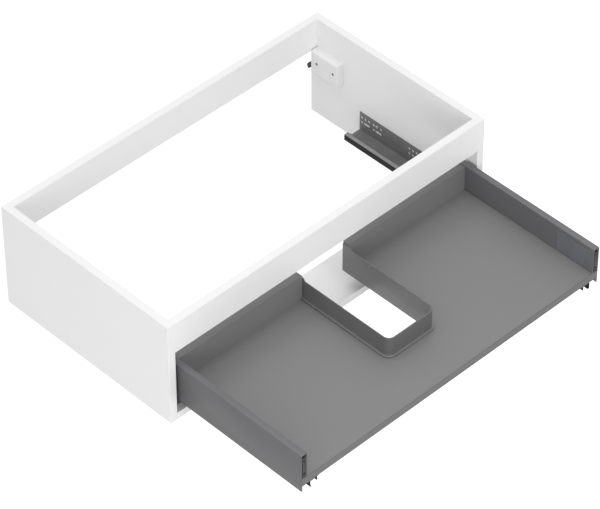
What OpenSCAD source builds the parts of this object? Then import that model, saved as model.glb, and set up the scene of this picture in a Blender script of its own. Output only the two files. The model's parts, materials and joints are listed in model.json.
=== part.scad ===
// Wall-hung under-counter carcass with a steel-sided drawer that goes round a drain trap.
// +Z is up, the front looks along -Y and the wall is the plane Y = 0. The origin is the
// middle of the rear rail's wall face. Most pieces are drawn in one side's own frame:
// X runs inwards from that side panel's inner face, Y back from the carcass front and
// Z up from the carcass underside. The left side is the mirror of the right one.

/* [Carcass] */
// Width over both side panels
carcass_w = 800; // [560:1:1200]
// Depth from the wall to the front edges
carcass_d = 443; // [440:0.2:600]
// Height of the side panels
carcass_h = 236; // [230:1:400]
// Thickness of the carcass boards
board_t = 16; // [15:1:19]
// Height of the rear and front rails
rail_h = 70; // [60:1:90]
// Depth of the flat board at the bottom front
bottom_board_d = 102; // [70:1:130]
// Diameter of the beech dowels
dowel_dia = 8; // [6:1:10]
// Length of the beech dowels
dowel_l = 28; // [20:1:34]

/* [Hangers] */
// From the carcass top down to the hanger casing
hanger_drop = 66; // [50:1:80]
// Height of the hanger casing
casing_h = 56; // [52:1:64]
// Length of the hanger casing, front to back
casing_l = 71; // [68:1:80]
// How far the hanger casing stands off the side panel
casing_t = 18; // [16:1:22]
// Radius round the casing's free edges
casing_r = 5; // [3:1:7]
// How far the hook stands out past the wall plane
hook_reach = 1.5; // [0.5:0.5:6]
// How far the hook can be raised or lowered
hook_lift = 3.5; // [2:0.5:4]

/* [Runners] */
// Length of the cabinet rail
cabinet_rail_l = 304; // [270:1:330]
// Length of the middle rail
middle_rail_l = 300; // [270:1:320]
// From the carcass front to the cabinet rail
rail_setback = 4; // [3:1:10]
// From the carcass underside up to the cabinet rail
rail_lift = 31; // [24:1:40]
// Height of the cabinet rail's upright
upright_h = 46.5; // [44:0.5:60]
// Thickness of the runner steel
rail_t = 1.2; // [1:0.1:1.5]
// Diameter of the runner's lower rollers
lower_roller_dia = 4.6; // [4.2:0.1:5.5]
// Diameter of the runner's upper rollers
upper_roller_dia = 4.8; // [4:0.02:5.8]
// Rollers in each carrier
roller_count = 6; // [3:1:7]
// Diameter of the fixing holes in the upright
fixing_hole_dia = 6; // [5:0.5:6.5]

/* [Drawer] */
// Length of the drawer from its front end to the back panel's rear face
drawer_l = 341; // [320:1:341]
// How far the drawer stands open
drawer_open = 312; // [120:1:316]
// Height of the side walls, skirt included
wall_h = 88; // [80:0.2:120]
// Thickness of the hollow side walls
wall_t = 13.5; // [11.5:0.1:17]
// Air between a side wall and the side panel
wall_gap = 4.5; // [3:0.5:6]
// Thickness of the drawer's steel sheet
skin_t = 1; // [0.8:0.1:1.2]
// Thickness of the floor board
floor_t = 16; // [15:0.2:19.2]
// Thickness of the back panels
back_t = 16; // [15:1:18]
// How far the back panels stay below the wall tops
back_drop = 2; // [0:0.5:6]

/* [Trap cut-out] */
// Width of the cut-out in the floor board
cutout_w = 120; // [80:1:200]
// Depth of the cut-out from the drawer's rear
cutout_d = 236; // [120:1:260]
// Radius of the cut-out's front corners
cutout_r = 15; // [10:1:30]
// Height of the surround above the drawer floor
surround_h = 45.5; // [30:0.5:50]
// Rise of the surround's top towards the back panels
surround_rise = 6; // [1:0.5:10]
// Thickness of the surround
surround_t = 2; // [1.5:0.5:3]
// Width of the surround's foot on the floor
lip_w = 4.5; // [2:0.5:8]
// Height of the surround's foot
lip_h = 4; // [1:0.5:6]

/* [Front fixing] */
// Distance between the two front panel screws in each bracket
front_pitch = 32; // [24:1:36]
// Diameter of the front panel screw holes
front_hole_dia = 5; // [4:0.5:6]
// Depth of the front panel screw holes
front_hole_depth = 14; // [10:1:18]
// Length of the cover cap
cap_l = 70; // [60:1:80]
// Height of the cover cap
cap_h = 45; // [36:1:46]

/* [Hidden] */

$fn = 48;

// Clearances
fit_gap = 0.05;      // a dowel or shank in its hole
slide_gap = 0.3;     // between pieces that move past each other
edge_gap = 0.2;      // round a piece let into another
cut = 1;             // how far a cutter runs past a face

// Levels and widths
inner_w = carcass_w - 2 * board_t;
underside_z = rail_h / 2 - carcass_h;
rear_rail_y = carcass_d - board_t;

// Dowels
dowel_inset = 15;
dowel_in_panel = board_t - 5;
bottom_dowel_y = [30, bottom_board_d - 30];

// Hanger, seen from the side panel
casing_wall = 1.6;
casing_top = carcass_h - hanger_drop;
casing_bottom = casing_top - casing_h;
casing_rear = rear_rail_y - 2;
casing_front = casing_rear - casing_l;
backplate_t = 1.5;
backplate_inset = 3;
lift_plate_t = 2;
lift_plate_drop = 6;
rib_t = 2;
lift_plate_x = backplate_t + slide_gap;
lift_guide_w = 2;
hook_t = 6;
hook_x = lift_plate_x + lift_plate_t + slide_gap;
hook_arm_h = 9.5;
hook_arm_z = casing_bottom + casing_wall + hook_lift + 2 * slide_gap;
hook_arm_l = 46;
hook_nose_r = 7.5;
hook_nose_y = carcass_d + hook_reach - hook_nose_r;
hook_nose_z = hook_arm_z - 0.5;
hook_claw_t = 5;
screw_z = casing_top - 26;
lift_screw_y = casing_front + 12.5;
reach_screw_y = casing_front + 56.5;
adjuster_shank_r = 2.5;
adjuster_head_r = 4;
adjuster_head_t = 2.4;
adjuster_key_r = 1.5;
adjuster_hole_r = 3;
hanger_screw_r = 1.8;
hanger_screw_head_r = 3.2;
hanger_screw_l = 12;
hanger_screw_y = casing_front + 33;

// Cabinet rail section, from its back on the side panel
ramp_start = 22.7;
hat_rise = 12.3;
hat_inner = ramp_start + hat_rise;
hat_outer = 42.2;
hat_leg_bottom = rail_lift - 0.5;
hat_under = rail_lift + hat_rise;
hat_top = hat_under + rail_t;
cabinet_path = [
    [0, rail_lift + upright_h], [0, rail_lift], [ramp_start, rail_lift],
    [hat_inner, hat_under], [hat_outer, hat_under], [hat_outer, hat_leg_bottom]];

// Fixing holes in the upright, in system rows 32 apart behind the first hole
first_hole_y = 37;
row_pitch = 32;
hole_step = 9.5;
upper_hole_z = rail_lift + 34;
lower_hole_z = rail_lift + 22;
group_rows = [0, 4, 7, 8];
slotted_rows = [7, 8];
slot_l = 17;
rail_screw_rows = [0, 7];
rail_screw_r = 2.4;
rail_screw_head_r = 4.2;
rail_screw_head_t = 1.4;
rail_screw_l = 12;

// Lower carrier, middle rail, upper carrier and drawer rail, from the bottom up
lower_roller_z = hat_top + fit_gap + lower_roller_dia / 2;
web_under = hat_top + 2 * fit_gap + lower_roller_dia;
web_top = web_under + rail_t;
upper_roller_z = web_top + fit_gap + upper_roller_dia / 2;
plate_under = web_top + 2 * fit_gap + upper_roller_dia;
plate_top = plate_under + rail_t;
ledge_top = plate_top + skin_t;
floor_top = ledge_top + floor_t;

middle_foot_x = 27.2;
middle_leg_x = 30.8;
middle_web_x = 39.8;
middle_foot_z = web_under - 5.3;
middle_leg_z = web_under - 2.6;
middle_path = [
    [middle_foot_x, middle_foot_z], [middle_leg_x, middle_foot_z],
    [middle_leg_x, web_under], [middle_web_x, web_under], [middle_web_x, middle_leg_z]];

drawer_rail_foot_x = 28.6;
drawer_rail_outer_x = 26;
drawer_rail_inner_x = 41.6;
drawer_rail_outer_z = plate_under - 12.6;
drawer_rail_inner_z = plate_under - 8.3;
drawer_rail_path = [
    [drawer_rail_foot_x, drawer_rail_outer_z], [drawer_rail_outer_x, drawer_rail_outer_z],
    [drawer_rail_outer_x, plate_under], [drawer_rail_inner_x, plate_under],
    [drawer_rail_inner_x, drawer_rail_inner_z]];
drawer_rail_l = drawer_l - 9;

carrier_l = 138;
roller_pitch = 20;
carrier_t = 1.3;
pocket_gap = 0.25;
lower_roller_x = 35.2;
lower_roller_w = 4.1;
lower_carrier_x = hat_inner - 0.5;
lower_carrier_z = hat_top + slide_gap;
skirt_x = hat_outer + rail_t + slide_gap;
skirt_t = 1.2;
skirt_drop = 6;
upper_roller_x = 30.5;
upper_roller_w = 8;
upper_carrier_x = drawer_rail_outer_x + slide_gap;
upper_carrier_w = drawer_rail_inner_x - drawer_rail_outer_x - 2 * slide_gap;
upper_carrier_z = web_top + slide_gap;
roller_cover = 0.5;

// Places along the runner, from the carcass front
drawer_y = -drawer_open;
middle_y = rail_setback - drawer_open / 2;
lower_carrier_y = (rail_setback + middle_y + middle_rail_l - carrier_l) / 2;
upper_carrier_y = (middle_y + drawer_y + drawer_rail_l - carrier_l) / 2;

// Drawer section
skin_x = wall_gap;
hollow_x = skin_x + skin_t;
wall_x = wall_gap + wall_t;
skirt_z = ledge_top - 13.5;
wall_top = skirt_z + wall_h;
floor_x = hollow_x + edge_gap;
ledge_end_x = 46;
back_y = drawer_l - back_t;
back_top = wall_top - back_drop;
bracket_t = 1.2;

// Front bracket, cover cap and cam in the hollow of the wall
bracket_x = hollow_x + 2.1;
bracket_w = wall_x - skin_t - 2.4 - bracket_x;
bracket_front = 0.5;
bracket_l = 69.5;
bracket_z = (floor_top + wall_top) / 2 - 1.8;
bracket_h = front_pitch + 12;
bracket_pad_r = 4;
cap_y = 20.5;
cap_z = bracket_z - 2.5;
cap_t = 2;
cap_leg_w = 5;
cap_leg_h = 10;
cam_y = bracket_front + 44.5;
cam_r = 6;
cam_slot_w = 1.2;
cam_slot_l = 8;
cam_slot_d = 1.5;

// Drawer screws
ledge_screw_x = (hollow_x + drawer_rail_outer_x - rail_t) / 2;
ledge_screw_y = [40, drawer_l / 2, drawer_l - 41];
wood_screw_r = 1.8;
wood_head_r = 3.2;
wood_head_t = 1.8;
wood_screw_l = 14;
rear_tab_l = 36;
rear_plate_w = 42;
rear_screw_x = wall_x + 15;
rear_screw_z = [floor_top + 14, floor_top + 42];

// Surround
surround_bottom = ledge_top - 1;
surround_top = floor_top + surround_h;
surround_end = surround_top + surround_rise;
surround_slope_l = 8;
lip_gap = 0.1;

// Locking clip under the floor's front corner
clip_x = 48;
clip_w = 30;
clip_y = 14;
clip_l = 56;
clip_t = 4;
clip_pin_x = clip_x + 22;
clip_pin_y = clip_y + 46;
clip_pin_r = 3;
clip_lever_r = 6.5;
clip_lever_t = 5;
clip_arm_w = 6;
clip_nose_y = clip_y + 14;
clip_nose_w = 8;
clip_handle_w = 10;
clip_handle_l = 14;

// ---------- Helpers ----------

// A side's own frame, mirrored for the left side
module on_side(side)
    mirror([side == "left" ? 1 : 0, 0, 0])
        translate([inner_w / 2, -carcass_d, underside_z])
            mirror([1, 0, 0]) children();

// The carcass's own frame: centred in X, from its front and its underside
module in_carcass() translate([0, -carcass_d, underside_z]) children();

// Draws an outline of X and Z and runs it back along Y
module run_back(length) translate([0, length, 0]) rotate([90, 0, 0]) linear_extrude(length) children();

// Draws an outline of Y and Z and runs it inwards along X
module run_in(length) rotate([90, 0, 90]) linear_extrude(length) children();

// Round bars along X, Y and Z
module bar_x(r, from, to) translate([from, 0, 0]) rotate([0, 90, 0]) cylinder(r = r, h = to - from);
module bar_y(r, from, to) translate([0, from, 0]) rotate([-90, 0, 0]) cylinder(r = r, h = to - from);
module bar_z(r, from, to) translate([0, 0, from]) cylinder(r = r, h = to - from);

function left_normal(a, b) = let (d = b - a) [-d[1], d[0]] / norm(d);
function offset_path(p, t) = [for (i = [0 : len(p) - 1])
    let (last = len(p) - 1,
         before = left_normal(p[max(i - 1, 0)], p[max(i, 1)]),
         after = left_normal(p[min(i, last - 1)], p[min(i + 1, last)]))
    p[i] + (before + after) * t / (1 + before * after)];
function reversed(p) = [for (i = [len(p) - 1 : -1 : 0]) p[i]];

// A sheet bent along a path, with its thickness on the path's left
module bent_sheet(path, t) polygon(concat(path, reversed(offset_path(path, t))));

// ---------- Carcass ----------

module dowel_places() {
    for (z = [dowel_inset, rail_h - dowel_inset]) {
        translate([0, board_t / 2, carcass_h - rail_h + z]) children();
        translate([0, carcass_d - board_t / 2, carcass_h - rail_h + z]) children();
    }
    for (y = bottom_dowel_y) translate([0, y, board_t / 2]) children();
}

module dowel_holes(side)
    on_side(side) dowel_places()
        bar_x(dowel_dia / 2 + fit_gap, -dowel_in_panel - fit_gap, dowel_l - dowel_in_panel + fit_gap);

module dowels()
    color("burlywood") for (side = ["left", "right"])
        on_side(side) dowel_places()
            bar_x(dowel_dia / 2, -dowel_in_panel, dowel_l - dowel_in_panel);

module side_panel(side)
    color("whitesmoke") difference() {
        on_side(side) translate([-board_t, 0, 0]) cube([board_t, carcass_d, carcass_h]);
        dowel_holes(side);
        on_side(side) {
            rail_screw_places() bar_x(rail_screw_r + fit_gap, -rail_screw_l - fit_gap, cut);
            hanger_screw_places()
                bar_x(hanger_screw_r + fit_gap, -hanger_screw_l - fit_gap, cut);
        }
    }

module cross_board(y, z, depth, height)
    color("white") difference() {
        in_carcass() translate([-inner_w / 2, y, z]) cube([inner_w, depth, height]);
        dowel_holes("left");
        dowel_holes("right");
    }

module rear_rail() cross_board(rear_rail_y, carcass_h - rail_h, board_t, rail_h);
module front_rail() cross_board(0, carcass_h - rail_h, board_t, rail_h);
module front_bottom_board() cross_board(0, 0, bottom_board_d, board_t);

// ---------- Hangers ----------

// A block on the side panel with its free edges rounded. An inset makes the cavity,
// and the overrun takes it out through the panel side and the rear.
module casing_block(inset, overrun) {
    x = casing_t - inset;
    r = max(casing_r - inset, 1);
    front = casing_front + inset;
    length = casing_rear + overrun - front;
    bottom = casing_bottom + inset;
    height = casing_h - 2 * inset;
    intersection() {
        translate([0, front, 0]) run_back(length) {
            translate([-overrun, bottom]) square([x - r + overrun, height]);
            translate([-overrun, bottom + r]) square([x + overrun, height - 2 * r]);
            for (z = [bottom + r, bottom + height - r]) translate([x - r, z]) circle(r);
        }
        translate([0, front, bottom]) linear_extrude(height) {
            translate([-overrun, 0]) square([x - r + overrun, length]);
            translate([-overrun, r]) square([x + overrun, length - r]);
            translate([x - r, r]) circle(r);
        }
    }
}

module hanger_casing(side)
    color("white") on_side(side) difference() {
        casing_block(0, 0);
        casing_block(casing_wall, cut);
        for (y = [lift_screw_y, reach_screw_y]) translate([0, y, screw_z])
            bar_x(adjuster_hole_r, casing_t - casing_wall - cut, casing_t + cut);
    }

module hanger_screw_places()
    for (z = [casing_bottom + 26, casing_top - 10]) translate([0, hanger_screw_y, z]) children();

module hanger_screws()
    color("silver") for (side = ["left", "right"]) on_side(side) hanger_screw_places() {
        bar_x(hanger_screw_r, -hanger_screw_l, backplate_t);
        difference() {
            bar_x(hanger_screw_head_r, backplate_t, backplate_t + 1.8);
            bar_x(1, backplate_t + 0.8, backplate_t + 1.8 + cut);
        }
    }

module adjuster_places()
    for (y = [lift_screw_y, reach_screw_y]) translate([0, y, screw_z]) children();

// Steel plate on the side panel, with a guide along each upright edge
module hanger_backplate(side) {
    front = casing_front + backplate_inset;
    length = casing_rear - 1 - front;
    bottom = casing_bottom + backplate_inset;
    height = casing_h - 2 * backplate_inset;
    color("silver") on_side(side) difference() {
        union() {
            translate([0, front, bottom]) cube([backplate_t, length, height]);
            for (y = [front, front + length - lift_guide_w]) translate([0, y, bottom + 14])
                cube([hook_x - slide_gap, lift_guide_w, height - 14]);
        }
        adjuster_places() bar_x(adjuster_shank_r + fit_gap, -cut, hook_x + cut);
        hanger_screw_places() bar_x(hanger_screw_r + fit_gap, -cut, backplate_t + cut);
    }
}

// A round hole drawn out along Z by the lift travel both ways
module lift_slot(r)
    for (y = [lift_screw_y, reach_screw_y]) translate([0, y, screw_z]) {
        for (dz = [-hook_lift, hook_lift]) translate([0, 0, dz]) bar_x(r, 0, hook_x);
        translate([0, -r, -hook_lift]) cube([hook_x, 2 * r, 2 * hook_lift]);
    }

// Plate that the lift screw raises and lowers, with a channel that guides the hook
module lift_plate(side) {
    front = casing_front + backplate_inset + lift_guide_w + slide_gap;
    length = casing_rear - 1 - lift_guide_w - slide_gap - front;
    bottom = hook_arm_z - slide_gap;
    height = casing_top - casing_wall - 3 * slide_gap - hook_lift - bottom - lift_plate_drop;
    rib_z = hook_arm_z + hook_arm_h + slide_gap;
    window_y = hanger_screw_y - hanger_screw_head_r - 1;
    window_w = 2 * hanger_screw_head_r + 2;
    color("darkgray") on_side(side) difference() {
        union() {
            translate([lift_plate_x, front, bottom]) cube([lift_plate_t, length, height]);
            translate([lift_plate_x, front, rib_z]) cube([lift_plate_t + hook_t, length, rib_t]);
        }
        lift_slot(adjuster_shank_r + slide_gap);
        translate([lift_plate_x - cut, window_y, rib_z + rib_t + slide_gap])
            cube([lift_plate_t + 2 * cut, window_w, height]);
    }
}

// Hook outline of Y and Z: a straight arm, a round nose and a throat open below
module hook_outline() difference() {
    union() {
        translate([hook_nose_y - hook_arm_l, hook_arm_z]) square([hook_arm_l, hook_arm_h]);
        translate([hook_nose_y, hook_nose_z]) circle(hook_nose_r);
    }
    translate([hook_nose_y - hook_nose_r, hook_nose_z - hook_nose_r - cut])
        square([2 * hook_nose_r - hook_claw_t, hook_nose_r + cut]);
}

module hook(side) color("dimgray") on_side(side) translate([hook_x, 0, 0]) run_in(hook_t) hook_outline();

// Adjusting screw across the casing, its key recess behind the casing's hole
module adjuster(side, y) {
    head_end = casing_t - casing_wall - slide_gap;
    color("silver") on_side(side) translate([0, y, screw_z]) difference() {
        union() {
            bar_x(adjuster_shank_r, slide_gap, head_end - adjuster_head_t);
            bar_x(adjuster_head_r, head_end - adjuster_head_t, head_end);
        }
        bar_x(adjuster_key_r, head_end - adjuster_head_t + 0.6, head_end + cut);
    }
}

// ---------- Runners ----------

module rail_screw_places()
    for (row = rail_screw_rows) translate([0, first_hole_y + row * row_pitch, upper_hole_z]) children();

module cabinet_rail_screws()
    color("silver") for (side = ["left", "right"]) on_side(side) rail_screw_places() {
        bar_x(rail_screw_r, -rail_screw_l, rail_t);
        difference() {
            bar_x(rail_screw_head_r, rail_t, rail_t + rail_screw_head_t);
            bar_x(1.6, rail_t + 0.5, rail_t + rail_screw_head_t + cut);
        }
    }

// Holes of one system row: three above and two or a hole and a slot below
module fixing_holes(slotted) {
    r = fixing_hole_dia / 2;
    for (step = [-1 : 1]) translate([0, step * hole_step, upper_hole_z]) bar_x(r, -cut, rail_t + cut);
    translate([0, hole_step, lower_hole_z]) bar_x(r, -cut, rail_t + cut);
    if (slotted) {
        for (y = [-slot_l + r, -r]) translate([0, y + hole_step / 2, lower_hole_z])
            bar_x(r, -cut, rail_t + cut);
        translate([-cut, -slot_l + r + hole_step / 2, lower_hole_z - r])
            cube([rail_t + 2 * cut, slot_l - 2 * r, 2 * r]);
    } else translate([0, 0, lower_hole_z]) bar_x(r, -cut, rail_t + cut);
}

module cabinet_rail(side)
    color("dimgray") on_side(side) difference() {
        translate([0, rail_setback, 0]) run_back(cabinet_rail_l) bent_sheet(cabinet_path, rail_t);
        for (row = group_rows) translate([0, first_hole_y + row * row_pitch, 0])
            fixing_holes(len(search(row, slotted_rows)) > 0);
    }

// Rollers of one carrier, drawn from the carrier's front end
module roller_row(dia, x, w, z)
    for (i = [0 : roller_count - 1])
        translate([0, carrier_l / 2 + (i - (roller_count - 1) / 2) * roller_pitch, z])
            bar_x(dia / 2, x, x + w);

module roller_pockets(dia, x, w, z)
    for (i = [0 : roller_count - 1])
        translate([x - pocket_gap,
                   carrier_l / 2 + (i - (roller_count - 1) / 2) * roller_pitch - dia / 2 - pocket_gap,
                   z - dia])
            cube([w + 2 * pocket_gap, dia + 2 * pocket_gap, 2 * dia]);

module lower_rollers(side)
    color("gainsboro") on_side(side) translate([0, lower_carrier_y, 0])
        roller_row(lower_roller_dia, lower_roller_x, lower_roller_w, lower_roller_z);

// Cage on the cabinet rail's raised edge, with a skirt outside that edge
module lower_carrier(side) {
    body_w = middle_web_x - slide_gap - lower_carrier_x;
    body_t = lower_roller_dia - 2 * roller_cover;
    color("ivory") on_side(side) translate([0, lower_carrier_y, 0]) difference() {
        union() {
            translate([lower_carrier_x, 0, lower_carrier_z]) cube([body_w, carrier_l, body_t]);
            translate([lower_carrier_x, 0, lower_carrier_z])
                cube([skirt_x + skirt_t - lower_carrier_x, carrier_l, carrier_t]);
            translate([skirt_x, 0, lower_carrier_z - skirt_drop])
                cube([skirt_t, carrier_l, skirt_drop + carrier_t]);
        }
        roller_pockets(lower_roller_dia, lower_roller_x, lower_roller_w, lower_roller_z);
    }
}

module middle_rail(side)
    color("dimgray") on_side(side) translate([0, middle_y, 0])
        run_back(middle_rail_l) bent_sheet(middle_path, rail_t);

module upper_rollers(side)
    color("gainsboro") on_side(side) translate([0, upper_carrier_y, 0])
        roller_row(upper_roller_dia, upper_roller_x, upper_roller_w, upper_roller_z);

module upper_carrier(side)
    color("ivory") on_side(side) translate([0, upper_carrier_y, 0]) difference() {
        translate([upper_carrier_x, 0, upper_carrier_z])
            cube([upper_carrier_w, carrier_l, upper_roller_dia - 2 * roller_cover]);
        roller_pockets(upper_roller_dia, upper_roller_x, upper_roller_w, upper_roller_z);
    }

module drawer_rail(side)
    color("dimgray") on_side(side) translate([0, drawer_y, 0])
        run_back(drawer_rail_l) bent_sheet(drawer_rail_path, rail_t);

// ---------- Drawer ----------

module in_drawer() translate([0, drawer_y, 0]) children();

// Outline of the cut-out in X and Y, grown by a margin on three sides
module cutout_outline(margin) {
    half = cutout_w / 2 + margin;
    front = drawer_l - cutout_d - margin;
    r = cutout_r + margin;
    translate([-half, front + r]) square([2 * half, cutout_d + margin - r]);
    translate([-half + r, front]) square([2 * (half - r), cutout_d]);
    for (x = [-half + r, half - r]) translate([x, front + r]) circle(r);
}

module drawer_floor()
    color("gray") difference() {
        in_carcass() in_drawer() difference() {
            translate([floor_x - inner_w / 2, 0, ledge_top])
                cube([inner_w - 2 * floor_x, drawer_l, floor_t]);
            translate([0, 0, ledge_top - cut]) linear_extrude(floor_t + 2 * cut) {
                cutout_outline(edge_gap);
                translate([-cutout_w / 2 - edge_gap, drawer_l - cut])
                    square([cutout_w + 2 * edge_gap, 2 * cut]);
            }
        }
        for (side = ["left", "right"]) on_side(side) in_drawer() ledge_screw_places()
            bar_z(wood_screw_r + fit_gap, -cut, wood_screw_l + fit_gap);
    }

module back_panel(side)
    color("gray") difference() {
        on_side(side) in_drawer() translate([wall_x + edge_gap, back_y, floor_top])
            cube([inner_w / 2 - cutout_w / 2 - 2 * edge_gap - wall_x, back_t, back_top - floor_top]);
        on_side(side) in_drawer() rear_screw_places()
            bar_y(wood_screw_r + fit_gap, -wood_screw_l - fit_gap, cut);
    }

module outer_skin(side) {
    path = [[wall_x, wall_top], [skin_x, wall_top], [skin_x, skirt_z]];
    color("gray") on_side(side) in_drawer() run_back(drawer_l) bent_sheet(path, skin_t);
}

module inner_skin(side) {
    path = [
        [hollow_x + slide_gap, floor_top], [wall_x, floor_top], [wall_x, wall_top - skin_t]];
    color("gray") on_side(side) in_drawer() difference() {
        run_back(drawer_l) bent_sheet(path, skin_t);
        translate([wall_x - skin_t - cut, cap_y - edge_gap, cap_z - cap_h / 2 - edge_gap])
            cube([skin_t + 2 * cut, cap_l + 2 * edge_gap, cap_h + 2 * edge_gap]);
    }
}

// Steel angle that joins the outer skin to the floor and takes the drawer rail
module floor_ledge(side) {
    path = [[ledge_end_x, ledge_top], [hollow_x, ledge_top], [hollow_x, skirt_z + 1]];
    color("dimgray") on_side(side) in_drawer() difference() {
        run_back(drawer_l) bent_sheet(path, skin_t);
        ledge_screw_places() bar_z(wood_screw_r + fit_gap, -skin_t - cut, cut);
    }
}

module ledge_screw_places()
    for (y = ledge_screw_y) translate([ledge_screw_x, y, ledge_top]) children();

module rear_screw_places()
    for (z = rear_screw_z) translate([rear_screw_x, drawer_l, z]) children();

// Pan-head wood screw along +Z, its head's seat at the origin
module wood_screw() {
    bar_z(wood_screw_r, 0, wood_screw_l);
    difference() {
        bar_z(wood_head_r, -wood_head_t, 0);
        bar_z(1, -wood_head_t - cut, -wood_head_t + 1);
    }
}

module drawer_screws()
    color("silver") for (side = ["left", "right"]) on_side(side) in_drawer() {
        ledge_screw_places() translate([0, 0, -skin_t]) wood_screw();
        rear_screw_places() translate([0, bracket_t, 0]) rotate([90, 0, 0]) wood_screw();
    }

// Angle across the wall's rear end and the back panel, with a tab in the hollow
module rear_bracket(side) {
    height = back_top - floor_top - 8;
    path = [
        [wall_x + rear_plate_w, drawer_l + bracket_t], [hollow_x + edge_gap, drawer_l + bracket_t],
        [hollow_x + edge_gap, drawer_l - rear_tab_l]];
    color("dimgray") on_side(side) in_drawer() difference() {
        translate([0, 0, floor_top + 4]) linear_extrude(height) bent_sheet(path, bracket_t);
        rear_screw_places() bar_y(wood_screw_r + fit_gap, -cut, bracket_t + cut);
    }
}

module bracket_hole_places()
    for (dz = [-front_pitch / 2, front_pitch / 2])
        translate([bracket_x + bracket_w / 2, bracket_front, bracket_z + dz]) children();

// Block in the hollow that takes the front panel's screws, on two pads on the outer skin
module front_bracket(side)
    color("darkgray") on_side(side) in_drawer() difference() {
        union() {
            translate([bracket_x, bracket_front, bracket_z - bracket_h / 2])
                cube([bracket_w, bracket_l, bracket_h]);
            for (y = [bracket_front + 12, bracket_front + bracket_l - 8])
                translate([0, y, bracket_z]) bar_x(bracket_pad_r, hollow_x, bracket_x);
        }
        bracket_hole_places() bar_y(front_hole_dia / 2, -cut, front_hole_depth);
        translate([0, cam_y, bracket_z])
            bar_x(cam_r + fit_gap, bracket_x - cut, bracket_x + bracket_w + cut);
    }

// Turning cam with a screwdriver slot, under the cover cap
module adjusting_cam(side) {
    outer_end = bracket_x + bracket_w + slide_gap;
    color("silver") on_side(side) in_drawer() translate([0, cam_y, bracket_z]) difference() {
        bar_x(cam_r, bracket_x, outer_end);
        translate([outer_end - cam_slot_d, -cam_slot_l / 2, -cam_slot_w / 2])
            cube([cam_slot_d + cut, cam_slot_l, cam_slot_w]);
    }
}

// Cap flush in the inner skin, with two legs that snap in behind the bracket
module cover_cap(side)
    color("dimgray") on_side(side) in_drawer() {
        translate([wall_x - cap_t, cap_y, cap_z - cap_h / 2]) cube([cap_t, cap_l, cap_h]);
        for (dz = [-cap_h / 4, cap_h / 4])
            translate([bracket_x, bracket_front + bracket_l + edge_gap, cap_z + dz - cap_leg_h / 2])
                cube([wall_x - cap_t - bracket_x, cap_leg_w, cap_leg_h]);
    }

// Outline of Y and Z of the surround's side: a little higher beside the back panels, then
// an S-curve of two arcs down to its own height
module surround_side() {
    slope_l = max(surround_slope_l, surround_rise);
    arc_r = (slope_l * slope_l + surround_rise * surround_rise) / (4 * surround_rise);
    middle = surround_top + surround_rise / 2;
    translate([0, surround_bottom]) square([drawer_l, surround_top - surround_bottom]);
    translate([back_y, surround_bottom]) square([back_t, surround_end - surround_bottom]);
    translate([back_y - slope_l / 2, surround_top]) square([slope_l / 2, surround_rise / 2]);
    intersection() {
        translate([back_y, surround_end - arc_r]) circle(arc_r);
        translate([back_y - slope_l / 2, middle]) square([slope_l / 2, surround_rise / 2]);
    }
    difference() {
        translate([back_y - slope_l, surround_top]) square([slope_l / 2, surround_rise / 2]);
        translate([back_y - slope_l, surround_top + arc_r]) circle(arc_r);
    }
}

module surround_band(height) difference() {
    linear_extrude(height) cutout_outline(0);
    translate([0, 0, -cut]) linear_extrude(height + 2 * cut) {
        cutout_outline(-surround_t);
        translate([surround_t - cutout_w / 2, drawer_l - surround_t - cut])
            square([cutout_w - 2 * surround_t, surround_t + 2 * cut]);
    }
}

// U-shaped lining of the cut-out, with a foot on the drawer floor
module cutout_surround()
    color("dimgray") in_carcass() in_drawer() {
        intersection() {
            translate([0, 0, surround_bottom]) surround_band(surround_end - surround_bottom);
            translate([-cutout_w / 2 - cut, 0, 0]) run_in(cutout_w + 2 * cut) surround_side();
        }
        difference() {
            translate([0, 0, floor_top + lip_gap]) linear_extrude(lip_h) cutout_outline(lip_w);
            translate([0, 0, floor_top - cut]) linear_extrude(lip_h + 2 * cut + lip_gap) {
                cutout_outline(-surround_t / 2);
                translate([-cutout_w, back_y - edge_gap]) square([2 * cutout_w, back_t + cutout_d]);
            }
        }
    }

// Clip under the floor's front corner that locks the drawer onto its rail
module clip_body(side)
    color("gray") on_side(side) in_drawer() {
        translate([clip_x, clip_y, ledge_top - clip_t]) cube([clip_w, clip_l, clip_t]);
        translate([clip_pin_x, clip_pin_y, 0])
            bar_z(clip_pin_r, ledge_top - clip_t - clip_lever_t - 2 * slide_gap, ledge_top - clip_t);
    }

// Lever on the clip's pin, with a nose against the drawer rail and a finger grip
module clip_lever(side) {
    top = ledge_top - clip_t - slide_gap;
    arm_l = clip_pin_y - clip_y;
    nose_from = drawer_rail_inner_x + rail_t + slide_gap;
    color("dimgray") on_side(side) in_drawer() translate([0, 0, top - clip_lever_t]) difference() {
        union() {
            translate([clip_pin_x, clip_pin_y, 0]) cylinder(r = clip_lever_r, h = clip_lever_t);
            translate([clip_pin_x - clip_arm_w / 2, clip_y, 0]) cube([clip_arm_w, arm_l, clip_lever_t]);
            translate([nose_from, clip_nose_y, 0])
                cube([clip_pin_x - nose_from, clip_nose_w, clip_lever_t]);
            translate([clip_pin_x - clip_handle_w / 2, clip_y, 0])
                cube([clip_handle_w, clip_handle_l, clip_lever_t]);
        }
        translate([clip_pin_x, clip_pin_y, -cut])
            cylinder(r = clip_pin_r + fit_gap, h = clip_lever_t + 2 * cut);
    }
}

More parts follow.
